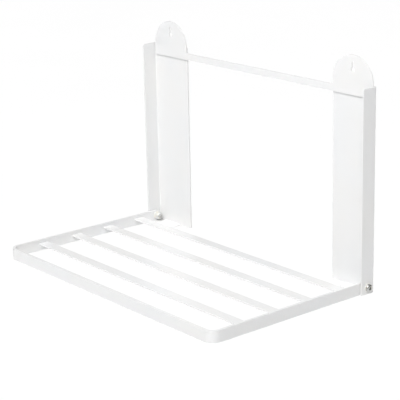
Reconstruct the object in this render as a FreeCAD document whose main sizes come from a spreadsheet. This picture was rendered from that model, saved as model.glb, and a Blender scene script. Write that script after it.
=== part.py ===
"""Wall mounted fold down drying rack, in millimetres.

Two folded steel brackets stand on the wall, joined by a top plate that hangs on two screws.
A U-shaped tray of flat bar, with cross bars welded across it, turns on a bolt through each bracket.

Frame: +X to the right, +Z up, and the room is on the -Y side of the wall at y = 0.
The origin is on the wall, midway between the two screws when the rack hangs on them.
Every piece is drawn from the bottom edge of the brackets' side flanges and then placed.
"""
import FreeCAD, Part
import math
import os

import Sketcher
from FreeCAD import Rotation, Vector

doc = FreeCAD.newDocument("DryingRack")
dims = doc.addObject("Spreadsheet::Sheet", "dims")

DRIVING_DIMENSIONS = [
    ("overall_width", 600),          # over the outer faces of the side flanges
    ("flange_height", 365),
    ("flange_depth", 32),            # from the wall to the front edge of a side flange
    ("plate_width", 101),            # back plate of a bracket, from the flange's outer face
    ("bracket_gauge", 2.5),
    ("bend_radius", 2),              # inside radius of every fold
    ("flange_nose_radius", 4),
    ("plate_corner_radius", 4),
    ("stop_width", 66),              # shelf under the arm, from the flange's outer face
    ("stop_reach", 8),               # how far the shelf stands out past the pivot
    ("stop_level", 1),               # top of the shelf above the flange's bottom edge
    ("stop_corner_radius", 10),
    ("stop_side_gap", 0.5),
    ("top_plate_gauge", 2),
    ("top_plate_overlap", 22),       # how far the top plate laps down over the back plates
    ("strip_height", 13),
    ("strip_corner_radius", 3),
    ("ear_side_gap", 2.5),           # between an ear and the flange beside it
    ("keyhole_rise", 21.5),           # entry hole above the top of the flanges
    ("keyhole_drop", 12.5),           # how far the rack drops from entry hole to seat
    ("keyhole_entry", 8.5),
    ("keyhole_slot", 4.5),
    ("tray_depth", 368),             # from the wall to the outer face of the front rail
    ("rail_height", 21),
    ("rail_gauge", 5),
    ("rail_corner_radius", 18),
    ("tail_gap", 0.5),               # between the turning tail of an arm and the shelf
    ("bar_width", 20),
    ("bar_gauge", 3),
    ("bar_drop", 6.5),               # from the top of the arms down to the top of a bar
    ("bar_edge_radius", 0.8),
    ("front_bar_setback", 74.5),     # from the front rail's outer face to the first bar
    ("rear_bar_setback", 64),        # from the wall to the last bar
    ("fold_gap", 1),                 # between the folded tray and the top plate
    ("side_float", 0.1),             # play beside each face of an arm
    ("bolt_diameter", 8),
    ("running_clearance", 0.05),     # radial, arm on bolt
    ("fixed_clearance", 0.2),        # radial, in the flange and the washers
    ("bolt_end", 2),                 # how far the bolt stands out of its nut
    ("bolt_chamfer", 0.8),
    ("head_diameter", 14),
    ("head_height", 4.4),
    ("head_edge_radius", 3),
    ("socket_flats", 5),
    ("socket_depth", 2.6),
    ("washer_diameter", 16),
    ("washer_gauge", 1.6),
    ("spacer_gauge", 1),
    ("nut_flats", 13),
    ("nut_hex_height", 5.5),
    ("nut_collar_height", 2.5),
    ("nut_collar_wall", 1),
    ("ring_wall", 1),                # nylon ring, around the bolt
    ("ring_gauge", 1.8),
    ("ring_inset", 0.3),             # below the rim of the collar
]
BAR_COUNT = 4

for row, (alias, number) in enumerate(DRIVING_DIMENSIONS, start=1):
    dims.set(f"A{row}", alias)
    dims.set(f"B{row}", str(number))
    dims.setAlias(f"B{row}", alias)
doc.recompute()

# Lengths that follow from the driving dimensions, as expressions of them.
HALF_WIDTH = "dims.overall_width / 2"
SEAT_LEVEL = "(dims.flange_height + dims.keyhole_rise + dims.keyhole_drop)"
ENTRY_LEVEL = "(dims.flange_height + dims.keyhole_rise)"
EAR_RADIUS = "((dims.plate_width - dims.bracket_gauge - dims.ear_side_gap) / 2)"
EAR_OUTER = f"({HALF_WIDTH} - dims.bracket_gauge - dims.ear_side_gap)"
EAR_CENTRE = f"({EAR_OUTER} - {EAR_RADIUS})"
PLATE_BOTTOM = "(dims.flange_height - dims.top_plate_overlap)"
PIVOT_SETBACK = "(dims.bracket_gauge + dims.top_plate_gauge + dims.fold_gap + dims.rail_height / 2)"
PIVOT_LEVEL = "(dims.stop_level + dims.rail_height / 2)"
TAIL_RADIUS = "(dims.rail_height / 2 - dims.tail_gap)"
STOP_DEPTH = f"({PIVOT_SETBACK} + dims.stop_reach)"
STOP_INNER = f"({HALF_WIDTH} - dims.stop_width)"
STOP_OUTER = f"({HALF_WIDTH} - dims.bracket_gauge - dims.bend_radius - 2 * dims.stop_side_gap)"
ARM_OUTER = f"({HALF_WIDTH} - dims.bracket_gauge - dims.spacer_gauge - dims.side_float)"
ARM_INNER = f"({ARM_OUTER} - dims.rail_gauge)"
RAIL_TOP = "(dims.stop_level + dims.rail_height)"
BAR_PITCH = (
    f"((dims.tray_depth - dims.front_bar_setback - dims.rear_bar_setback) / {BAR_COUNT - 1})"
)
NUT_WASHER_INSET = (
    "(dims.bracket_gauge + dims.spacer_gauge + 2 * dims.side_float + dims.rail_gauge)"
)
NUT_INSET = f"({NUT_WASHER_INSET} + dims.washer_gauge)"
NUT_HEIGHT = "(dims.nut_hex_height + dims.nut_collar_height)"
SHANK_LENGTH = f"(dims.washer_gauge + {NUT_INSET} + {NUT_HEIGHT} + dims.bolt_end)"
RING_DIAMETER = "(dims.bolt_diameter + 2 * dims.ring_wall)"
HOLE_DIAMETER = "(dims.bolt_diameter + 2 * dims.fixed_clearance)"

SIDES = {"left": -1, "right": 1}


def value(expression):
    """The number that an expression of the driving dimensions comes to."""
    return float(dims.evalExpression(str(expression)))


def place(piece, x="0", y="0", level="0"):
    """Put a piece at x and y, and at a level above the bottom edge of the flanges."""
    piece.setExpression("Placement.Base.x", str(x))
    piece.setExpression("Placement.Base.y", str(y))
    piece.setExpression("Placement.Base.z", f"{level} - {SEAT_LEVEL}")


# ---- drawing helpers ----------------------------------------------------------------------

def new_body(label):
    body = doc.addObject("PartDesign::Body", label)
    body.Label = label
    return body


def new_sketch(body, name, role, offset=None):
    """A sketch on one of the body's own origin planes, lifted off it by an offset."""
    plane = next(item for item in body.Origin.OriginFeatures if item.Role == role)
    sketch = body.newObject("Sketcher::SketchObject", name)
    sketch.AttachmentSupport = [(plane, "")]
    sketch.MapMode = "FlatFace"
    if offset is not None:
        sketch.setExpression("AttachmentOffset.Base.z", str(offset))
    return sketch


def pin_point(sketch, geometry, point, x, y):
    """Fix a point of the sketch at x and y, each an expression."""
    for kind, expression in (("DistanceX", x), ("DistanceY", y)):
        number = sketch.addConstraint(
            Sketcher.Constraint(kind, -1, 1, geometry, point, value(expression))
        )
        sketch.setExpression(f"Constraints[{number}]", str(expression))


def draw_outline(sketch, corners):
    """A closed outline with square corners, each an (x, y) or (x, y, radius) of expressions."""
    places = [Vector(value(corner[0]), value(corner[1]), 0) for corner in corners]
    count = len(corners)
    entries = []
    exits = []
    for index, corner in enumerate(corners):
        radius = corner[2] if len(corner) == 3 else "0"
        for neighbour, points in ((index - 1, entries), ((index + 1) % count, exits)):
            way = (places[neighbour] - places[index]).normalize()
            points.append(tuple(
                f"{corner[axis]} + {round(way[axis])} * ({radius})" for axis in range(2)
            ))
    first = sketch.GeometryCount
    for index in range(count):
        ends = (exits[index], entries[(index + 1) % count])
        line = Part.LineSegment(*[Vector(value(x), value(y), 0) for x, y in ends])
        sketch.addGeometry(line, False)
        pin_point(sketch, first + index, 1, *exits[index])
    for index, corner in enumerate(corners):
        before = first + (index - 1) % count
        after = first + index
        if len(corner) == 3:
            pin_point(sketch, before, 2, *entries[index])
            draw_bend(sketch, before, after, places[index], corner[2])
        else:
            sketch.addConstraint(Sketcher.Constraint("Coincident", before, 2, after, 1))


def draw_bend(sketch, before, after, corner, radius):
    """A quarter circle from the end of one line to the start of the next."""
    start = sketch.Geometry[before].EndPoint
    finish = sketch.Geometry[after].StartPoint
    centre = start + finish - corner
    angles = [math.atan2(point.y - centre.y, point.x - centre.x) for point in (start, finish)]
    anticlockwise = math.sin(angles[1] - angles[0]) > 0
    if not anticlockwise:
        angles.reverse()
    if angles[1] < angles[0]:
        angles[1] += 2 * math.pi
    circle = Part.Circle(centre, Vector(0, 0, 1), value(radius))
    arc = sketch.addGeometry(Part.ArcOfCircle(circle, *angles), False)
    start_end, finish_end = (1, 2) if anticlockwise else (2, 1)
    sketch.addConstraint(Sketcher.Constraint("Coincident", before, 2, arc, start_end))
    sketch.addConstraint(Sketcher.Constraint("Coincident", arc, finish_end, after, 1))
    number = sketch.addConstraint(Sketcher.Constraint("Radius", arc, value(radius)))
    sketch.setExpression(f"Constraints[{number}]", str(radius))


def draw_circle(sketch, x, y, diameter):
    centre = Vector(value(x), value(y), 0)
    circle = Part.Circle(centre, Vector(0, 0, 1), value(diameter) / 2)
    geometry = sketch.addGeometry(circle, False)
    pin_point(sketch, geometry, 3, x, y)
    number = sketch.addConstraint(Sketcher.Constraint("Diameter", geometry, value(diameter)))
    sketch.setExpression(f"Constraints[{number}]", str(diameter))


def draw_half_disc(sketch, x, y, radius):
    """The upper half of a disc, with the middle of its straight side at x and y."""
    centre = Vector(value(x), value(y), 0)
    reach = Vector(value(radius), 0, 0)
    circle = Part.Circle(centre, Vector(0, 0, 1), value(radius))
    arc = sketch.addGeometry(Part.ArcOfCircle(circle, 0, math.pi), False)
    base = sketch.addGeometry(Part.LineSegment(centre - reach, centre + reach), False)
    pin_point(sketch, arc, 3, x, y)
    number = sketch.addConstraint(Sketcher.Constraint("Radius", arc, value(radius)))
    sketch.setExpression(f"Constraints[{number}]", str(radius))
    sketch.addConstraint(Sketcher.Constraint("Coincident", arc, 2, base, 1))
    sketch.addConstraint(Sketcher.Constraint("Coincident", base, 2, arc, 1))
    sketch.addConstraint(Sketcher.Constraint("Horizontal", base))
    sketch.addConstraint(Sketcher.Constraint("PointOnObject", arc, 3, base))


def add_pad(body, name, sketch, length, both_ways=False, against=False):
    """Pad a sketch along its normal, against it, or half of the length each way."""
    pad = body.newObject("PartDesign::Pad", name)
    pad.Profile = sketch
    pad.setExpression("Length", str(length))
    pad.Midplane = both_ways
    pad.Reversed = against
    doc.recompute()
    return pad


def add_cut(body, name, sketch, length, both_ways=False, against=False):
    """Pocket a sketch, and make sure that it took material away."""
    volume = body.Shape.Volume
    pocket = body.newObject("PartDesign::Pocket", name)
    pocket.Profile = sketch
    pocket.setExpression("Length", str(length))
    pocket.Midplane = both_ways
    pocket.Reversed = against
    doc.recompute()
    if body.Shape.Volume > volume - 1e-3:
        raise RuntimeError(f"{body.Label}: {name} cut nothing")
    return pocket


def edges_at(shape, *places):
    """Names of the straight edges at each (x, y, z) place, where None is the way they run."""
    names = []
    for number, edge in enumerate(shape.Edges, start=1):
        ends = [vertex.Point for vertex in edge.Vertexes]
        if len(ends) != 2 or edge.Curve.TypeId != "Part::GeomLine":
            continue
        for wanted in places:
            free = [axis for axis in range(3) if wanted[axis] is None]
            fixed = [axis for axis in range(3) if wanted[axis] is not None]
            on_line = all(abs(end[axis] - wanted[axis]) < 1e-4 for end in ends for axis in fixed)
            if on_line and abs(ends[0][free[0]] - ends[1][free[0]]) > 1e-4:
                names.append(f"Edge{number}")
    return names


def round_edges(body, name, radius, *places):
    """Fillet the body's straight edges at the given places, each made of expressions."""
    wanted = [tuple(None if item is None else value(item) for item in spot) for spot in places]
    tip = body.Tip
    names = edges_at(tip.Shape, *wanted)
    if len(names) < len(places):
        raise RuntimeError(f"{body.Label}: {name} found {len(names)} of {len(places)} edges")
    fillet = body.newObject("PartDesign::Fillet", name)
    fillet.Base = (tip, names)
    fillet.setExpression("Radius", str(radius))
    doc.recompute()
    return fillet


# ---- the wall frame -----------------------------------------------------------------------

def make_top_plate():
    """The strip with a domed ear at each end, and a keyhole in each ear."""
    body = new_body("top_plate")
    front = "dims.top_plate_gauge"
    back = "dims.bracket_gauge"

    strip = new_sketch(body, "strip_outline", "XZ_Plane", back)
    strip_top = f"({PLATE_BOTTOM} + dims.strip_height)"
    draw_outline(strip, [
        (f"-{EAR_OUTER}", PLATE_BOTTOM),
        (EAR_OUTER, PLATE_BOTTOM),
        (EAR_OUTER, strip_top),
        (f"-{EAR_OUTER}", strip_top),
    ])
    add_pad(body, "strip", strip, front)

    ears = new_sketch(body, "ear_outlines", "XZ_Plane", back)
    domes = new_sketch(body, "dome_outlines", "XZ_Plane", back)
    ear_inner = f"({EAR_CENTRE} - {EAR_RADIUS})"
    for side in SIDES.values():
        draw_outline(ears, [
            (f"{side} * {ear_inner}", PLATE_BOTTOM),
            (f"{side} * {EAR_OUTER}", PLATE_BOTTOM),
            (f"{side} * {EAR_OUTER}", "dims.flange_height"),
            (f"{side} * {ear_inner}", "dims.flange_height"),
        ])
        draw_half_disc(domes, f"{side} * {EAR_CENTRE}", "dims.flange_height", EAR_RADIUS)
    add_pad(body, "ears", ears, front)
    add_pad(body, "domes", domes, front)

    entries = new_sketch(body, "entry_outlines", "XZ_Plane", back)
    slots = new_sketch(body, "slot_outlines", "XZ_Plane", back)
    seats = new_sketch(body, "seat_outlines", "XZ_Plane", back)
    for side in SIDES.values():
        middle = f"{side} * {EAR_CENTRE}"
        draw_circle(entries, middle, ENTRY_LEVEL, "dims.keyhole_entry")
        draw_outline(slots, [
            (f"{middle} - dims.keyhole_slot / 2", ENTRY_LEVEL),
            (f"{middle} + dims.keyhole_slot / 2", ENTRY_LEVEL),
            (f"{middle} + dims.keyhole_slot / 2", SEAT_LEVEL),
            (f"{middle} - dims.keyhole_slot / 2", SEAT_LEVEL),
        ])
        draw_circle(seats, middle, SEAT_LEVEL, "dims.keyhole_slot")
    for name, sketch in (("entries", entries), ("slots", slots), ("seats", seats)):
        add_cut(body, f"keyhole_{name}", sketch, front, against=True)

    inner_corners = [(f"{side} * {ear_inner}", None, strip_top) for side in SIDES.values()]
    outer_corners = [(f"{side} * {EAR_OUTER}", None, PLATE_BOTTOM) for side in SIDES.values()]
    round_edges(body, "corners", "dims.strip_corner_radius", *inner_corners, *outer_corners)
    place(body)
    return body


def make_bracket(hand):
    """A back plate on the wall, a side flange and the shelf that stops the tray."""
    side = SIDES[hand]
    body = new_body(f"{hand}_bracket")
    gauge = "dims.bracket_gauge"
    outer = f"{side} * {HALF_WIDTH}"
    flange_inner = f"{side} * ({HALF_WIDTH} - {gauge})"
    plate_inner = f"{side} * ({HALF_WIDTH} - dims.plate_width)"

    bend_outside = f"dims.bend_radius + {gauge}"
    profile = new_sketch(body, "fold_profile", "XY_Plane")
    draw_outline(profile, [
        (outer, "0", bend_outside),
        (outer, "-dims.flange_depth"),
        (flange_inner, "-dims.flange_depth"),
        (flange_inner, f"-{gauge}", "dims.bend_radius"),
        (plate_inner, f"-{gauge}"),
        (plate_inner, "0"),
    ])
    add_pad(body, "plate_and_flange", profile, "dims.flange_height")

    # The shelf is folded out of the foot of the back plate.
    stop_inner = f"{side} * {STOP_INNER}"
    stop_outer = f"{side} * {STOP_OUTER}"
    stop_underside = f"(dims.stop_level - {gauge})"
    foot_top = f"(dims.stop_level + dims.bend_radius + {gauge})"
    foot = new_sketch(body, "foot_outline", "XZ_Plane")
    draw_outline(foot, [
        (stop_inner, "0"),
        (stop_outer, "0"),
        (stop_outer, foot_top),
        (stop_inner, foot_top),
    ])
    add_cut(body, "foot_opening", foot, gauge, against=True)

    shelf = new_sketch(body, "shelf_profile", "YZ_Plane", stop_inner)
    draw_outline(shelf, [
        ("0", foot_top),
        (f"-{gauge}", foot_top),
        (f"-{gauge}", "dims.stop_level", "dims.bend_radius"),
        (f"-{STOP_DEPTH}", "dims.stop_level"),
        (f"-{STOP_DEPTH}", stop_underside),
        ("0", stop_underside, bend_outside),
    ])
    shelf_length = f"({STOP_OUTER} - {STOP_INNER})"
    add_pad(body, "shelf", shelf, shelf_length, against=side < 0)

    wing_outer = f"{side} * ({HALF_WIDTH} - {gauge} - dims.stop_side_gap)"
    wing_rear = f"-({gauge} + dims.bend_radius + dims.stop_side_gap)"
    wing = new_sketch(body, "wing_outline", "XY_Plane", stop_underside)
    draw_outline(wing, [
        (stop_inner, f"-{STOP_DEPTH}"),
        (wing_outer, f"-{STOP_DEPTH}"),
        (wing_outer, wing_rear),
        (stop_inner, wing_rear),
    ])
    add_pad(body, "shelf_wing", wing, gauge)

    hole = new_sketch(body, "pivot_outline", "YZ_Plane")
    draw_circle(hole, f"-{PIVOT_SETBACK}", PIVOT_LEVEL, HOLE_DIAMETER)
    add_cut(body, "pivot_hole", hole, "dims.overall_width * 1.5", both_ways=True)

    round_edges(
        body, "flange_nose", "dims.flange_nose_radius",
        (None, "-dims.flange_depth", "dims.flange_height"),
    )
    round_edges(body, "plate_corner", "dims.plate_corner_radius", (plate_inner, None, "0"))
    round_edges(
        body, "shelf_corner", "dims.stop_corner_radius",
        (stop_inner, f"-{STOP_DEPTH}", None),
    )
    place(body)
    return body


# ---- the folding tray ---------------------------------------------------------------------

def make_tray_frame():
    """One flat bar on edge, bent into a U, with a rounded tail behind each pivot hole."""
    body = new_body("tray_frame")
    front = "-dims.tray_depth"
    rail_back = "-(dims.tray_depth - dims.rail_gauge)"
    tail_end = f"({TAIL_RADIUS} - {PIVOT_SETBACK})"
    outline = new_sketch(body, "rail_outline", "XY_Plane", "dims.stop_level")
    inner_radius = "dims.rail_corner_radius - dims.rail_gauge"
    draw_outline(outline, [
        (f"-{ARM_OUTER}", tail_end),
        (f"-{ARM_OUTER}", front, "dims.rail_corner_radius"),
        (ARM_OUTER, front, "dims.rail_corner_radius"),
        (ARM_OUTER, tail_end),
        (ARM_INNER, tail_end),
        (ARM_INNER, rail_back, inner_radius),
        (f"-{ARM_INNER}", rail_back, inner_radius),
        (f"-{ARM_INNER}", tail_end),
    ])
    add_pad(body, "rail", outline, "dims.rail_height")

    hole = new_sketch(body, "pivot_outline", "YZ_Plane")
    arm_hole = "(dims.bolt_diameter + 2 * dims.running_clearance)"
    draw_circle(hole, f"-{PIVOT_SETBACK}", PIVOT_LEVEL, arm_hole)
    add_cut(body, "pivot_holes", hole, "dims.overall_width", both_ways=True)

    round_edges(
        body, "tails", TAIL_RADIUS,
        (None, tail_end, "dims.stop_level"),
        (None, tail_end, RAIL_TOP),
    )
    place(body)
    return body


def make_cross_bar(number):
    """A flat bar between the arms, a little below their top edges. Bar 1 is at the front."""
    body = new_body(f"cross_bar_{number}")
    setback = f"(dims.tray_depth - dims.front_bar_setback - {number - 1} * {BAR_PITCH})"
    front = f"-({setback} + dims.bar_width / 2)"
    rear = f"-({setback} - dims.bar_width / 2)"
    top = f"({RAIL_TOP} - dims.bar_drop)"
    underside = f"({RAIL_TOP} - dims.bar_drop - dims.bar_gauge)"
    section = new_sketch(body, "bar_section", "YZ_Plane")
    draw_outline(section, [
        (front, underside),
        (rear, underside),
        (rear, top),
        (front, top),
    ])
    add_pad(body, "bar", section, f"2 * {ARM_INNER}", both_ways=True)
    round_edges(
        body, "long_edges", "dims.bar_edge_radius",
        *[(None, y, z) for y in (front, rear) for z in (underside, top)],
    )
    place(body)
    return body


# ---- the two pivots -----------------------------------------------------------------------
# A pivot piece is drawn along its own Z axis, which then points inwards along X.
# Its inset is counted from the outer face of the flange.

def place_on_pivot(piece, hand, inset):
    side = SIDES[hand]
    piece.Placement.Rotation = Rotation(Vector(0, 1, 0), -90 * side)
    place(piece, f"{side} * ({HALF_WIDTH} - ({inset}))", f"-{PIVOT_SETBACK}", PIVOT_LEVEL)


def new_cylinder(name, diameter, height, start="0"):
    cylinder = doc.addObject("Part::Cylinder", name)
    cylinder.setExpression("Radius", f"({diameter}) / 2")
    cylinder.setExpression("Height", str(height))
    cylinder.setExpression("Placement.Base.z", str(start))
    return cylinder


def new_hexagon(name, flats, height):
    prism = doc.addObject("Part::Prism", name)
    prism.Polygon = 6
    prism.setExpression("Circumradius", f"({flats}) / sqrt(3)")
    prism.setExpression("Height", str(height))
    return prism


def combine(kind, name, base, tool):
    result = doc.addObject(f"Part::{kind}", name)
    result.Base = base
    result.Tool = tool
    return result


def make_ring(hand, name, outer, bore, gauge, inset):
    """A flat ring around the pivot: a washer, a spacer or the nylon ring of a lock nut."""
    label = f"{hand}_{name}"
    disc = new_cylinder(f"{label}_disc", outer, gauge)
    centre = new_cylinder(f"{label}_bore", bore, gauge)
    ring = combine("Cut", label, disc, centre)
    ring.Label = label
    place_on_pivot(ring, hand, inset)
    return ring


def make_bolt(hand):
    """A button head bolt with a hexagon socket, from the head washer to past the nut."""
    label = f"{hand}_pivot_bolt"
    head = new_cylinder(f"{label}_blank", "dims.head_diameter", "dims.head_height", "-dims.head_height")
    doc.recompute()
    dome = doc.addObject("Part::Fillet", f"{label}_dome")
    dome.Base = head
    radius = value("dims.head_edge_radius")
    rim = [
        number for number, edge in enumerate(head.Shape.Edges, start=1)
        if edge.Closed and abs(edge.CenterOfMass.z + value("dims.head_height")) < 1e-4
    ]
    dome.Edges = [(number, radius, radius) for number in rim]
    socket = new_hexagon(f"{label}_socket", "dims.socket_flats", "dims.socket_depth")
    socket.setExpression("Placement.Base.z", "-dims.head_height")
    shank = new_cylinder(f"{label}_shank", "dims.bolt_diameter", SHANK_LENGTH)
    doc.recompute()
    point = doc.addObject("Part::Chamfer", f"{label}_point")
    point.Base = shank
    chamfer = value("dims.bolt_chamfer")
    end = [
        number for number, edge in enumerate(shank.Shape.Edges, start=1)
        if edge.Closed and abs(edge.CenterOfMass.z - value(SHANK_LENGTH)) < 1e-4
    ]
    point.Edges = [(number, chamfer, chamfer) for number in end]
    blank = combine("Fuse", f"{label}_solid", dome, point)
    bolt = combine("Cut", label, blank, socket)
    bolt.Label = label
    place_on_pivot(bolt, hand, "-dims.washer_gauge")
    return bolt


def make_lock_nut(hand):
    """A hexagon nut with a round collar, recessed for its nylon ring."""
    label = f"{hand}_lock_nut"
    prism = new_hexagon(f"{label}_hexagon", "dims.nut_flats", "dims.nut_hex_height")
    # The corners at the bearing face are turned off at 30 degrees.
    cone = doc.addObject("Part::Cone", f"{label}_corners")
    cone.setExpression("Radius1", "dims.nut_flats / 2")
    cone.setExpression("Radius2", "dims.nut_flats / 2 + dims.nut_hex_height / tan(30)")
    cone.setExpression("Height", "dims.nut_hex_height")
    hexagon = combine("Common", f"{label}_turned", prism, cone)
    collar_diameter = f"({RING_DIAMETER} + 2 * dims.nut_collar_wall)"
    collar = new_cylinder(f"{label}_collar", collar_diameter, NUT_HEIGHT)
    blank = combine("Fuse", f"{label}_blank", hexagon, collar)
    bore = new_cylinder(f"{label}_bore", "dims.bolt_diameter", NUT_HEIGHT)
    recess_depth = "(dims.ring_gauge + dims.ring_inset)"
    recess = new_cylinder(
        f"{label}_recess", RING_DIAMETER, recess_depth, f"{NUT_HEIGHT} - {recess_depth}"
    )
    inside = combine("Fuse", f"{label}_inside", bore, recess)
    nut = combine("Cut", label, blank, inside)
    nut.Label = label
    place_on_pivot(nut, hand, NUT_INSET)
    return nut


def make_pivot(hand):
    """Every loose piece of one pivot, from the bolt head inwards."""
    washer = ("dims.washer_diameter", HOLE_DIAMETER, "dims.washer_gauge")
    ring_inset = f"{NUT_INSET} + {NUT_HEIGHT} - dims.ring_inset - dims.ring_gauge"
    return [
        make_bolt(hand),
        make_ring(hand, "head_washer", *washer, "-dims.washer_gauge"),
        make_ring(
            hand, "spacer_washer", "dims.washer_diameter", HOLE_DIAMETER,
            "dims.spacer_gauge", "dims.bracket_gauge",
        ),
        make_ring(hand, "nut_washer", *washer, NUT_WASHER_INSET),
        make_lock_nut(hand),
        make_ring(
            hand, "nut_ring", RING_DIAMETER, "dims.bolt_diameter", "dims.ring_gauge", ring_inset
        ),
    ]


# ---- build, check and write ---------------------------------------------------------------

def check_pieces(pieces):
    """Stop unless every object recomputed and every piece is one valid solid."""
    for item in doc.Objects:
        if {"Invalid", "Error"} & set(item.State):
            raise RuntimeError(f"{item.Label} did not recompute: {item.State}")
    for piece in pieces:
        if piece.Shape.isNull() or not piece.Shape.isValid() or len(piece.Shape.Solids) != 1:
            raise RuntimeError(f"{piece.Label} is not one valid solid")


pieces = [make_top_plate(), make_tray_frame()]
pieces += [make_bracket(hand) for hand in SIDES]
pieces += [make_cross_bar(number) for number in range(1, BAR_COUNT + 1)]
for hand in SIDES:
    pieces += make_pivot(hand)
doc.recompute()
check_pieces(pieces)

os.makedirs("parts", exist_ok=True)
for piece in pieces:
    piece.Shape.exportStep(f"parts/{piece.Label}.step")
    print(f"{piece.Label}: {piece.Shape.Volume / 1000:.2f} cm3")
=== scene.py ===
import math

import bmesh
import bpy
from mathutils import Matrix, Vector


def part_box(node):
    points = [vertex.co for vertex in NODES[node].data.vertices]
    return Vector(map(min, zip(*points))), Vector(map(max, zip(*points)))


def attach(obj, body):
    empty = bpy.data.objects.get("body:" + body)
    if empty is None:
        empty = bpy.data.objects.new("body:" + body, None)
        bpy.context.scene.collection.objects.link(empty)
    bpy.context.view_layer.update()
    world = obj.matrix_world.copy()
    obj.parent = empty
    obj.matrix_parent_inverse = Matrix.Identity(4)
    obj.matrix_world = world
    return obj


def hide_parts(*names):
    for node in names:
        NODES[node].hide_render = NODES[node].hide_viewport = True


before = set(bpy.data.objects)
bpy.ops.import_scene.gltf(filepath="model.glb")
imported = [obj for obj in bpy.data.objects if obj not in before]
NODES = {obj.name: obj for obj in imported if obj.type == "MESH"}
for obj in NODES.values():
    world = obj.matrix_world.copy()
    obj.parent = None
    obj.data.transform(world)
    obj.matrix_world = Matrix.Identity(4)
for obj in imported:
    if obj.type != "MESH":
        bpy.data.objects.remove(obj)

# The looks of a wall mounted fold down drying rack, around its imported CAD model. Lengths are in metres:
# x runs to the right along the wall, y into the wall and z up.

MM = 0.001
SIDES = {"left": -1, "right": 1}
BAR_NUMBERS = range(1, 5)
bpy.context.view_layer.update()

# Pivot hardware. Flats are measured across a hexagon.
RING_POINTS = 72
BOLT_RADIUS = 4.0 * MM
BOLT_PITCH = 1.25 * MM
BOLT_CHAMFER = 0.8 * MM
HEAD_RADIUS = 7.0 * MM
HEAD_HEIGHT = 4.4 * MM
SOCKET_FLATS = 5.0 * MM
SOCKET_DEPTH = 2.6 * MM
THREAD_LENGTH = 12.0 * MM
THREAD_DEPTH = 0.55 * MM
THREAD_GROOVE = 0.42  # share of the pitch on each side of the bottom of the groove
NUT_FLATS = 13.0 * MM
NUT_HEX_HEIGHT = 5.5 * MM
NUT_HEIGHT = 8.0 * MM
NUT_RING_RADIUS = 5.0 * MM
WASHER_BORE = 4.2 * MM
WASHER_EDGE = 0.22 * MM
SPACER_EDGE = 0.15 * MM
RING_BORE = 4.0 * MM
RING_EDGE = 0.3 * MM

# Weld beads
WELD_LEG = 2.4 * MM
WELD_ROOT = 0.15 * MM
WELD_END_GAP = 1.2 * MM
WELD_RIPPLE_SPACING = 1.7 * MM
WELD_RIPPLE = 0.07
WELD_SWAY = 0.05
WELD_BELLY = 0.22
WELD_END_POWER = 6  # higher keeps the bead's full size closer to its ends
WELD_THINNEST = 0.02

# Faces that meet at more than this, in degrees, keep a sharp edge between them.
BOLT_CREASE = 28.0
NUT_CREASE = 24.0
WASHER_CREASE = 30.0
WELD_CREASE = 60.0

# Colours as (r, g, b), and tones that darken them
COAT_TONE = 0.8
DUST_TONE = 0.62
# Tone of the painted shade in the coat's corners
CORNER_SHADE_TONE = 0.74
COAT_WARM = (1.0, 0.996, 0.986)
COAT_COOL = (0.985, 0.993, 1.0)
ZINC_BLUE = (0.93, 0.97, 1.0)
ZINC_STRAW = (1.0, 0.97, 0.88)
NYLON_PALE = (1.0, 0.985, 0.95)
NYLON_DEEP = (0.95, 0.93, 0.87)
FLOOR_DARK = (0.95, 0.95, 0.95)
FLOOR_LIGHT = (0.97, 0.97, 0.97)
# Bolt and nut share one zinc plate. The bolt's darker tone is a painted dark reflection, and the nut's
# lighter tone is painted light.
BOLT_SHADED_TONE = 0.55
BOLT_ROUGHNESS = 0.3
NUT_LIT_TONE = 0.92
NUT_ROUGHNESS = 0.42
ZINC_ROUGHNESS_SPREAD = 0.09
WASHER_TONE = 0.84
SPACER_TONE = 0.82
RING_TONE = 0.8

# How far the coat's patterns are moved on each piece, and on the cross bars, which share one coat
COAT_SHIFTS = {
    "top_plate": 0.0,
    "left_bracket": 3.1,
    "right_bracket": 7.4,
    "tray_frame": 11.9,
}
BAR_COAT_SHIFT = 16.3
SHIFT_DIRECTION = (1.0, 1.7, 0.6)

# Ranges that a noise value is carried from and to
NOISE_WIDE = (0.3, 0.7)
NOISE_MIDDLE = (0.35, 0.65)
FULL_RANGE = (0.0, 1.0)

# Studio. The camera's lens and sensor are in millimetres, and the key light's spread in degrees.
FLOOR_LEVEL = -1.7
FLOOR_REACH = 45.0
CEILING_LIGHT = 0.6
KEY_ENERGY = 2.65
KEY_SPREAD = 30.0
KEY_PLACE = (0.37, -0.67, 1.0)
FILL_ENERGY = 1.28
FILL_SIZE = 0.4
FILL_PLACE = (0.28, -0.5, 0.55)
FILL_TARGET = (0.0, -0.15, -0.25)
CAMERA_PLACE = (1.9257, -1.7294, 0.4721)
CAMERA_YAW = math.radians(50.5)
CAMERA_PITCH = math.radians(-16.5)
CAMERA_ROLL = math.radians(-1.2)
CAMERA_LENS = 129.2
CAMERA_SENSOR = 36.0


# ---- node helpers --------------------------------------------------------------------------

def new_material(name):
    """An empty material, its node tree, its Principled shader and its object coordinates."""
    material = bpy.data.materials.new(name)
    material.use_nodes = True
    tree = material.node_tree
    shader = tree.nodes["Principled BSDF"]
    place = tree.nodes.new("ShaderNodeTexCoord").outputs["Object"]
    return material, tree, shader, place


def link(tree, output, socket):
    tree.links.new(output, socket)


def noise(tree, place, scale, detail=2.0, roughness=0.5):
    """A smooth random value between 0 and 1 at each place."""
    node = tree.nodes.new("ShaderNodeTexNoise")
    node.inputs["Scale"].default_value = scale
    node.inputs["Detail"].default_value = detail
    node.inputs["Roughness"].default_value = roughness
    link(tree, place, node.inputs["Vector"])
    return node.outputs["Fac"]


def cells(tree, place, scale):
    """Distance to the nearest of a field of scattered points."""
    node = tree.nodes.new("ShaderNodeTexVoronoi")
    node.inputs["Scale"].default_value = scale
    link(tree, place, node.inputs["Vector"])
    return node.outputs["Distance"]


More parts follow.
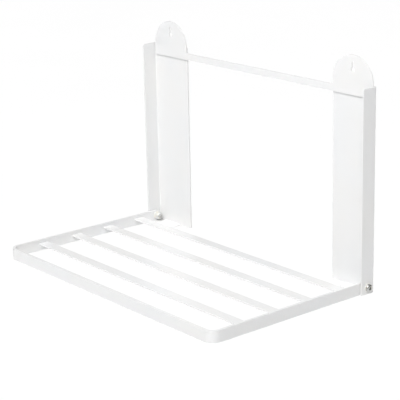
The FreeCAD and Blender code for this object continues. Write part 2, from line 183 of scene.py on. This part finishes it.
def remap(tree, value, source, target):
    """Carry a value from one (start, end) range over to another, and hold it within its ends."""
    node = tree.nodes.new("ShaderNodeMapRange")
    names = ("From Min", "From Max", "To Min", "To Max")
    for name, number in zip(names, (*source, *target)):
        node.inputs[name].default_value = number
    link(tree, value, node.inputs["Value"])
    return node.outputs["Result"]


def arithmetic(tree, operation, first, second):
    """A Math node. Each of its two values is a socket or a number."""
    node = tree.nodes.new("ShaderNodeMath")
    node.operation = operation
    for socket, item in zip(node.inputs, (first, second)):
        if isinstance(item, (int, float)):
            socket.default_value = item
        else:
            link(tree, item, socket)
    return node.outputs["Value"]


def blend_colours(tree, factor, first, second):
    """A colour between two, each a socket or an (r, g, b)."""
    node = tree.nodes.new("ShaderNodeMix")
    node.data_type = "RGBA"
    link(tree, factor, node.inputs["Factor"])
    for socket, item in ((node.inputs[6], first), (node.inputs[7], second)):
        if isinstance(item, tuple):
            socket.default_value = (*item, 1.0)
        else:
            link(tree, item, socket)
    return node.outputs[2]


def bump(tree, height, distance, strength):
    """Surface relief of a height field, with distance the height of a full step in metres."""
    node = tree.nodes.new("ShaderNodeBump")
    node.inputs["Strength"].default_value = strength
    node.inputs["Distance"].default_value = distance
    link(tree, height, node.inputs["Height"])
    return node.outputs["Normal"]


def toned(tone, colour):
    """A colour darkened to a tone."""
    return tuple(tone * part for part in colour)


def mottled(tree, field, first, second):
    """Clouds of two colours that follow a noise field."""
    return blend_colours(tree, remap(tree, field, NOISE_MIDDLE, FULL_RANGE), first, second)


# ---- materials -----------------------------------------------------------------------------

def powder_coat(name, shift):
    """Semi-gloss white powder coat: orange peel, cloudy gloss, rare dust specks, and painted shade that
    darkens its corners.
    """
    material, tree, shader, place = new_material(name)
    moved = tree.nodes.new("ShaderNodeMapping")
    moved.inputs["Location"].default_value = tuple(shift * part for part in SHIFT_DIRECTION)
    link(tree, place, moved.inputs["Vector"])
    place = moved.outputs["Vector"]

    clouds = noise(tree, place, scale=9.0, detail=3.0)
    warm = toned(COAT_TONE, COAT_WARM)
    cool = toned(COAT_TONE, COAT_COOL)
    colour = mottled(tree, clouds, warm, cool)
    specks = remap(tree, cells(tree, place, scale=95.0), source=(0.035, 0.06), target=(0.35, 0.0))
    patches = noise(tree, place, scale=31.0, detail=1.0)
    rare = remap(tree, patches, source=(0.62, 0.68), target=FULL_RANGE)
    specks = arithmetic(tree, "MULTIPLY", specks, rare)
    colour = blend_colours(tree, specks, colour, toned(DUST_TONE, warm))
    # Painted shade: the colour darkens where the surface lies close to other surfaces, in corners and
    # under parts.
    corner = tree.nodes.new("ShaderNodeAmbientOcclusion")
    corner.samples = 8
    corner.inputs["Distance"].default_value = 12 * MM
    shade = remap(tree, corner.outputs["AO"], source=(0.25, 0.75), target=(0.22, 0.0))
    colour = blend_colours(tree, shade, colour, toned(CORNER_SHADE_TONE, warm))
    link(tree, colour, shader.inputs["Base Color"])

    gloss = noise(tree, place, scale=42.0, detail=4.0, roughness=0.6)
    link(tree, remap(tree, gloss, NOISE_WIDE, target=(0.33, 0.47)), shader.inputs["Roughness"])
    shader.inputs["Coat Weight"].default_value = 0.18
    shader.inputs["Coat Roughness"].default_value = 0.22

    peel = noise(tree, place, scale=340.0, detail=1.0)
    link(tree, bump(tree, peel, distance=0.02 * MM, strength=0.4), shader.inputs["Normal"])
    return material


def plated_steel(name, tone, roughness):
    """Zinc plate with faint blue and straw tints and uneven wear."""
    material, tree, shader, place = new_material(name)
    shader.inputs["Metallic"].default_value = 1.0
    tint = noise(tree, place, scale=260.0, detail=3.0)
    colour = mottled(tree, tint, toned(tone, ZINC_BLUE), toned(tone, ZINC_STRAW))
    link(tree, colour, shader.inputs["Base Color"])

    wear = noise(tree, place, scale=900.0, detail=4.0, roughness=0.65)
    rubbed = (roughness - ZINC_ROUGHNESS_SPREAD, roughness + ZINC_ROUGHNESS_SPREAD)
    link(tree, remap(tree, wear, NOISE_WIDE, rubbed), shader.inputs["Roughness"])
    grain = noise(tree, place, scale=1500.0, detail=3.0)
    link(tree, bump(tree, grain, distance=0.012 * MM, strength=0.5), shader.inputs["Normal"])
    return material


def nylon(name, tone):
    """Moulded nylon: a little translucent, satin, with a faint mould grain."""
    material, tree, shader, place = new_material(name)
    milky = noise(tree, place, scale=180.0, detail=3.0)
    colour = mottled(tree, milky, toned(tone, NYLON_PALE), toned(tone, NYLON_DEEP))
    link(tree, colour, shader.inputs["Base Color"])
    shader.inputs["Subsurface Weight"].default_value = 0.25
    shader.inputs["Subsurface Radius"].default_value = (1.2 * MM, 1.0 * MM, 0.8 * MM)
    shader.inputs["Subsurface Scale"].default_value = 1.0
    grain = noise(tree, place, scale=1300.0, detail=3.0)
    link(tree, remap(tree, grain, NOISE_WIDE, target=(0.42, 0.56)), shader.inputs["Roughness"])
    link(tree, bump(tree, grain, distance=0.015 * MM, strength=0.5), shader.inputs["Normal"])
    return material


def floor_paint():
    """Flat, almost white paint."""
    material, tree, shader, place = new_material("studio_floor")
    clouds = noise(tree, place, scale=0.8)
    link(tree, blend_colours(tree, clouds, FLOOR_DARK, FLOOR_LIGHT), shader.inputs["Base Color"])
    shader.inputs["Roughness"].default_value = 0.9
    return material


# ---- mesh helpers --------------------------------------------------------------------------

def finish_piece(name, mesh_data, material, body, crease, node=None):
    """Turn a bmesh into a shown piece that rides on a body, and may stand for a CAD node."""
    bmesh.ops.recalc_face_normals(mesh_data, faces=mesh_data.faces[:])
    mesh = bpy.data.meshes.new(name)
    mesh_data.to_mesh(mesh)
    mesh_data.free()
    for face in mesh.polygons:
        face.use_smooth = True
    mesh.set_sharp_from_angle(angle=math.radians(crease))
    mesh.materials.append(material)
    piece = bpy.data.objects.new(name, mesh)
    bpy.context.scene.collection.objects.link(piece)
    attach(piece, body)
    if node is not None:
        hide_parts(node)
    return piece


def skin_rings(mesh_data, rings, closed):
    """Faces between neighbouring rings of vertices, back to the first ring where closed."""
    pairs = list(zip(rings, rings[1:]))
    if closed:
        pairs.append((rings[-1], rings[0]))
    for ring, following in pairs:
        count = len(ring)
        for index in range(count):
            after = (index + 1) % count
            mesh_data.faces.new((ring[index], ring[after], following[after], following[index]))


def pivot_ring(mesh_data, hand, centre, inset, radius_at):
    """A ring of vertices round a pivot. inset runs inwards along X, radius_at takes an angle."""
    ring = []
    for index in range(RING_POINTS):
        angle = math.tau * index / RING_POINTS
        radius = radius_at(angle)
        place = Vector((-SIDES[hand] * inset, radius * math.cos(angle), radius * math.sin(angle)))
        ring.append(mesh_data.verts.new(centre + place))
    return ring


def hexagon(flats):
    """Radius of a hexagon across its flats at an angle, with a corner pointing up."""
    def radius_at(angle):
        within = (angle - math.pi / 6) % (math.pi / 3) - math.pi / 6
        return flats / 2 / math.cos(within)
    return radius_at


def circle(radius):
    """The same radius at every angle."""
    return lambda angle: radius


def smaller(first, second):
    """The lesser of two radii at each angle."""
    return lambda angle: min(first(angle), second(angle))


def pivot_centre(hand, node):
    """The point of the pivot axis at a node's outer end."""
    low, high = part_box(node)
    middle = (low + high) / 2
    outer = high.x if SIDES[hand] > 0 else low.x
    return Vector((outer, middle.y, middle.z))


# ---- pivot hardware ------------------------------------------------------------------------

def thread_radius(inset, thread_start, length):
    """The shank's radius round one inset, by angle: plain, then a helical thread, then a chamfer."""
    lead_in = min(max((inset - thread_start) / BOLT_PITCH, 0.0), 1.0)
    to_end = length - inset
    chamfered = BOLT_RADIUS - max(BOLT_CHAMFER - to_end, 0.0)

    def radius_at(angle):
        phase = (inset / BOLT_PITCH + angle / math.tau) % 1.0
        groove = max(1.0 - abs(phase - 0.5) / THREAD_GROOVE, 0.0)
        return min(BOLT_RADIUS - THREAD_DEPTH * lead_in * groove, chamfered)
    return radius_at


def make_bolt(hand, material):
    """Button head bolt with a chamfered hexagon socket and a rolled thread."""
    node = f"{hand}_pivot_bolt"
    low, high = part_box(node)
    total = high.x - low.x
    centre = pivot_centre(hand, node)
    mesh_data = bmesh.new()
    socket = hexagon(SOCKET_FLATS)
    drill_radius = SOCKET_FLATS / 2 * 0.97
    drill_point = 0.9 * MM
    drill_tip = 0.15 * MM
    drill_step = 0.05 * MM
    mouth = smaller(hexagon(SOCKET_FLATS + 0.7 * MM), circle(3.02 * MM))
    mouth_bottom = 0.45 * MM
    mouth_lip = 0.12 * MM
    mouth_radius = 3.1 * MM
    dome_steps = 14
    crown = 3.5 * MM
    rim = 0.7 * MM
    rim_round = 0.3 * MM
    rim_round_middle = 0.08 * MM
    neck_radius = BOLT_RADIUS + 0.3 * MM
    neck = 0.25 * MM
    thread_start = total - THREAD_LENGTH
    rings_per_turn = 10
    steps = round(THREAD_LENGTH / BOLT_PITCH * rings_per_turn)
    end_radius = BOLT_RADIUS - BOLT_CHAMFER - 0.2 * MM
    end_dip = 0.12 * MM
    end_dip_radius = 0.4 * MM
    rings = []

    def ring(inset, radius_at):
        rings.append(pivot_ring(mesh_data, hand, centre, inset, radius_at))

    ring(SOCKET_DEPTH + drill_point, circle(drill_tip))
    ring(SOCKET_DEPTH, circle(drill_radius))
    ring(SOCKET_DEPTH - drill_step, socket)
    ring(mouth_bottom, socket)
    ring(mouth_lip, mouth)
    ring(0.0, circle(mouth_radius))
    for step in range(dome_steps + 1):
        angle = step / dome_steps * math.pi / 2
        radius = crown + (HEAD_RADIUS - crown) * math.sin(angle)
        ring((HEAD_HEIGHT - rim) * (1.0 - math.cos(angle)), circle(radius))
    ring(HEAD_HEIGHT - rim_round, circle(HEAD_RADIUS))
    ring(HEAD_HEIGHT - rim_round_middle, circle(HEAD_RADIUS - rim_round_middle))
    ring(HEAD_HEIGHT, circle(HEAD_RADIUS - rim_round))
    ring(HEAD_HEIGHT, circle(neck_radius))
    ring(HEAD_HEIGHT + neck, circle(BOLT_RADIUS))
    for step in range(steps + 1):
        inset = thread_start + THREAD_LENGTH * step / steps
        ring(inset, thread_radius(inset, thread_start, total))
    ring(total, circle(end_radius))
    ring(total - end_dip, circle(end_dip_radius))
    skin_rings(mesh_data, rings, closed=False)
    mesh_data.faces.new(rings[0])
    mesh_data.faces.new(rings[-1])
    return finish_piece(
        f"{hand}_bolt_detail", mesh_data, material, "wall_frame", BOLT_CREASE, node
    )


def make_lock_nut(hand, material):
    """Hexagon nut turned at both ends, with a collar rolled in over its nylon ring."""
    node = f"{hand}_lock_nut"
    centre = pivot_centre(hand, node)
    mesh_data = bmesh.new()
    hexagonal = hexagon(NUT_FLATS)
    bore = circle(BOLT_RADIUS + 0.02 * MM)
    countersink = circle(BOLT_RADIUS + 0.4 * MM)
    countersink_depth = 0.4 * MM
    chamfer_radius = NUT_FLATS / 2 - 0.15 * MM
    chamfer_slope = 1.0 / math.tan(math.radians(30.0))
    chamfer_height = 0.78 * MM
    chamfer_steps = 6
    collar = NUT_RING_RADIUS + 1.0 * MM
    collar_foot = 0.15 * MM
    collar_foot_low = NUT_HEX_HEIGHT + 0.05 * MM
    collar_foot_high = NUT_HEX_HEIGHT + 0.3 * MM
    roll = NUT_HEIGHT - NUT_HEX_HEIGHT - 0.9 * MM
    roll_sweep = math.radians(100.0)
    roll_steps = 8
    roll_reach = 1.15 * MM
    lip = circle(NUT_RING_RADIUS - 0.35 * MM)
    lip_depth = 0.3 * MM
    ring_seat = 2.1 * MM
    rings = []

    def ring(inset, radius_at):
        rings.append(pivot_ring(mesh_data, hand, centre, inset, radius_at))

    def chamfer(height):
        return smaller(hexagonal, circle(chamfer_radius + chamfer_slope * height))

    ring(countersink_depth, bore)
    ring(0.0, countersink)
    for step in range(chamfer_steps + 1):
        height = chamfer_height * step / chamfer_steps
        ring(height, chamfer(height))
    for step in range(chamfer_steps, -1, -1):
        height = chamfer_height * step / chamfer_steps
        ring(NUT_HEX_HEIGHT - height, chamfer(height))
    ring(collar_foot_low, circle(collar + collar_foot))
    ring(collar_foot_high, circle(collar))
    for step in range(roll_steps + 1):
        angle = step / roll_steps * roll_sweep
        ring(
            NUT_HEIGHT - roll + roll * math.sin(angle),
            circle(collar - roll_reach * (1.0 - math.cos(angle))),
        )
    ring(NUT_HEIGHT - lip_depth, lip)
    ring(NUT_HEIGHT - ring_seat, lip)
    ring(NUT_HEIGHT - ring_seat, bore)
    skin_rings(mesh_data, rings, closed=True)
    return finish_piece(
        f"{hand}_nut_detail", mesh_data, material, "wall_frame", NUT_CREASE, node
    )


def make_washer(hand, kind, bore_radius, edge, material):
    """A flat ring with rounded edges, filling its CAD node from face to face."""
    node = f"{hand}_{kind}"
    low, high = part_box(node)
    gauge = high.x - low.x
    outer = (high.z - low.z) / 2
    centre = pivot_centre(hand, node)
    mesh_data = bmesh.new()
    corners = (
        (edge, outer - edge, math.pi / 2, math.pi),
        (edge, bore_radius + edge, math.pi, 1.5 * math.pi),
        (gauge - edge, bore_radius + edge, 1.5 * math.pi, math.tau),
        (gauge - edge, outer - edge, 0.0, math.pi / 2),
    )
    rings = []
    corner_steps = 4
    for inset, radius, start, stop in corners:
        for step in range(corner_steps + 1):
            angle = start + (stop - start) * step / corner_steps
            rings.append(pivot_ring(
                mesh_data, hand, centre,
                inset + edge * math.cos(angle), circle(radius + edge * math.sin(angle)),
            ))
    skin_rings(mesh_data, rings, closed=True)
    return finish_piece(
        f"{hand}_{kind}_detail", mesh_data, material, "wall_frame", WASHER_CREASE, node
    )


# ---- weld beads ----------------------------------------------------------------------------

def make_weld(number, hand, material):
    """A coated fillet bead in the corner under a bar's end, with the ripples of its run."""
    bar_low, bar_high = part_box(f"cross_bar_{number}")
    side = SIDES[hand]
    corner_x = bar_high.x if side > 0 else bar_low.x
    start = bar_low.y + WELD_END_GAP
    run = bar_high.y - bar_low.y - 2 * WELD_END_GAP
    steps = 72
    arc_steps = 9
    sway_rate = 5.0
    sway_start = 2.1 * number + side
    mesh_data = bmesh.new()
    rings = []
    for step in range(steps + 1):
        share = step / steps
        along = start + run * share
        taper = math.sqrt(max(1.0 - abs(2 * share - 1) ** WELD_END_POWER, WELD_THINNEST ** 2))
        wave = math.sin(math.pi * share * run / WELD_RIPPLE_SPACING + number)
        ripple = 1.0 + WELD_RIPPLE * abs(wave)
        sway = 1.0 + WELD_SWAY * math.sin(sway_rate * share + sway_start)
        ring = [mesh_data.verts.new((corner_x + side * WELD_ROOT, along, bar_low.z + WELD_ROOT))]
        for arc_step in range(arc_steps + 1):
            angle = math.pi / 2 * arc_step / arc_steps
            belly = 1.0 + WELD_BELLY * math.sin(2 * angle)
            straight = WELD_LEG / (math.cos(angle) + math.sin(angle))
            reach = straight * taper * ripple * sway * belly
            ring.append(mesh_data.verts.new((
                corner_x - side * reach * math.cos(angle) + side * WELD_ROOT,
                along,
                bar_low.z - reach * math.sin(angle) + WELD_ROOT,
            )))
        rings.append(ring)
    skin_rings(mesh_data, rings, closed=False)
    mesh_data.faces.new(rings[0])
    mesh_data.faces.new(rings[-1])
    return finish_piece(
        f"weld_{number}_{hand}", mesh_data, material, "tray", WELD_CREASE
    )


# ---- whole rack ----------------------------------------------------------------------------

def dress_node(node, material):
    """Give a CAD node its material."""
    piece = NODES[node]
    piece.data.materials.clear()
    piece.data.materials.append(material)


def dress_rack():
    """Coat the CAD nodes that stay, and add the welds and the detailed pivot hardware."""
    for node, shift in COAT_SHIFTS.items():
        dress_node(node, powder_coat(f"coat_{node}", shift))
    bar_coat = powder_coat("coat_cross_bars", BAR_COAT_SHIFT)
    for number in BAR_NUMBERS:
        dress_node(f"cross_bar_{number}", bar_coat)
        for hand in SIDES:
            make_weld(number, hand, bar_coat)
    # Shaded and lit copies of one zinc: the bolt's tone paints a dark reflection, and the nut's tone
    # paints light on its shaded side.
    bolt_zinc_shaded = plated_steel("bolt_zinc_shaded", BOLT_SHADED_TONE, BOLT_ROUGHNESS)
    nut_zinc_lit = plated_steel("nut_zinc_lit", NUT_LIT_TONE, NUT_ROUGHNESS)
    washer_nylon = nylon("nylon_washer", WASHER_TONE)
    spacer_nylon = nylon("nylon_spacer", SPACER_TONE)
    ring_nylon = nylon("nylon_lock_ring", RING_TONE)
    for hand in SIDES:
        make_bolt(hand, bolt_zinc_shaded)
        make_lock_nut(hand, nut_zinc_lit)
        make_washer(hand, "head_washer", WASHER_BORE, WASHER_EDGE, washer_nylon)
        make_washer(hand, "nut_washer", WASHER_BORE, WASHER_EDGE, washer_nylon)
        make_washer(hand, "spacer_washer", WASHER_BORE, SPACER_EDGE, spacer_nylon)
        make_washer(hand, "nut_ring", RING_BORE, RING_EDGE, ring_nylon)


# ---- studio --------------------------------------------------------------------------------

def make_floor():
    """A plain pale floor, wide enough to fill the picture behind the rack."""
    mesh_data = bmesh.new()
    corners = ((-1, -1), (1, -1), (1, 1), (-1, 1))
    mesh_data.faces.new([
        mesh_data.verts.new((FLOOR_REACH * x, FLOOR_REACH * y, FLOOR_LEVEL)) for x, y in corners
    ])
    mesh = bpy.data.meshes.new("studio_floor")
    mesh_data.to_mesh(mesh)
    mesh_data.free()
    mesh.materials.append(floor_paint())
    floor = bpy.data.objects.new("studio_floor", mesh)
    bpy.context.scene.collection.objects.link(floor)


def make_sky():
    """Soft light from above that fades to nothing at the horizon. The camera sees plain white."""
    world = bpy.data.worlds.new("studio_light")
    bpy.context.scene.world = world
    world.use_nodes = True
    tree = world.node_tree
    way = tree.nodes.new("ShaderNodeTexCoord").outputs["Generated"]
    parts = tree.nodes.new("ShaderNodeSeparateXYZ")
    link(tree, way, parts.inputs["Vector"])
    upwards = arithmetic(tree, "MAXIMUM", parts.outputs["Z"], 0.0)
    ceiling = arithmetic(tree, "MULTIPLY", upwards, CEILING_LIGHT)
    seen = tree.nodes.new("ShaderNodeLightPath").outputs["Is Camera Ray"]
    light = arithmetic(tree, "MAXIMUM", ceiling, seen)
    background = tree.nodes["Background"]
    background.inputs["Color"].default_value = (1.0, 1.0, 1.0, 1.0)
    link(tree, light, background.inputs["Strength"])


def aim(thing, place, target):
    """Put a light at a place, pointing at a target."""
    way = Vector(target) - Vector(place)
    thing.location = place
    thing.rotation_euler = way.to_track_quat("-Z", "Y").to_euler()


def make_key_light():
    """A broad sun, high in front and a little to the right, for soft shadows."""
    data = bpy.data.lights.new("overhead", "SUN")
    data.energy = KEY_ENERGY
    data.angle = math.radians(KEY_SPREAD)
    lamp = bpy.data.objects.new("overhead", data)
    bpy.context.scene.collection.objects.link(lamp)
    aim(lamp, KEY_PLACE, (0.0, 0.0, 0.0))


def make_fill_light():
    """A small round lamp above the rack's right side and in front of it."""
    data = bpy.data.lights.new("fill", "AREA")
    data.shape = "DISK"
    data.size = FILL_SIZE
    data.energy = FILL_ENERGY
    lamp = bpy.data.objects.new("fill", data)
    bpy.context.scene.collection.objects.link(lamp)
    aim(lamp, FILL_PLACE, FILL_TARGET)


def make_camera():
    """A camera in front of the rack, off its right side and a little above it."""
    data = bpy.data.cameras.new("camera")
    data.sensor_width = CAMERA_SENSOR
    data.lens = CAMERA_LENS
    camera = bpy.data.objects.new("camera", data)
    bpy.context.scene.collection.objects.link(camera)
    forward = Vector((
        -math.sin(CAMERA_YAW) * math.cos(CAMERA_PITCH),
        math.cos(CAMERA_YAW) * math.cos(CAMERA_PITCH),
        math.sin(CAMERA_PITCH),
    ))
    level = Vector((math.cos(CAMERA_YAW), math.sin(CAMERA_YAW), 0.0))
    upright = level.cross(forward)
    right = level * math.cos(CAMERA_ROLL) + upright * math.sin(CAMERA_ROLL)
    up = upright * math.cos(CAMERA_ROLL) - level * math.sin(CAMERA_ROLL)
    turn = Matrix((right, up, -forward)).transposed()
    camera.matrix_world = Matrix.Translation(CAMERA_PLACE) @ turn.to_4x4()
    bpy.context.scene.camera = camera


# ---- build ---------------------------------------------------------------------------------

dress_rack()
make_floor()
make_sky()
make_key_light()
make_fill_light()
make_camera()
bpy.context.scene.view_settings.view_transform = "Standard"

bpy.context.view_layer.update()
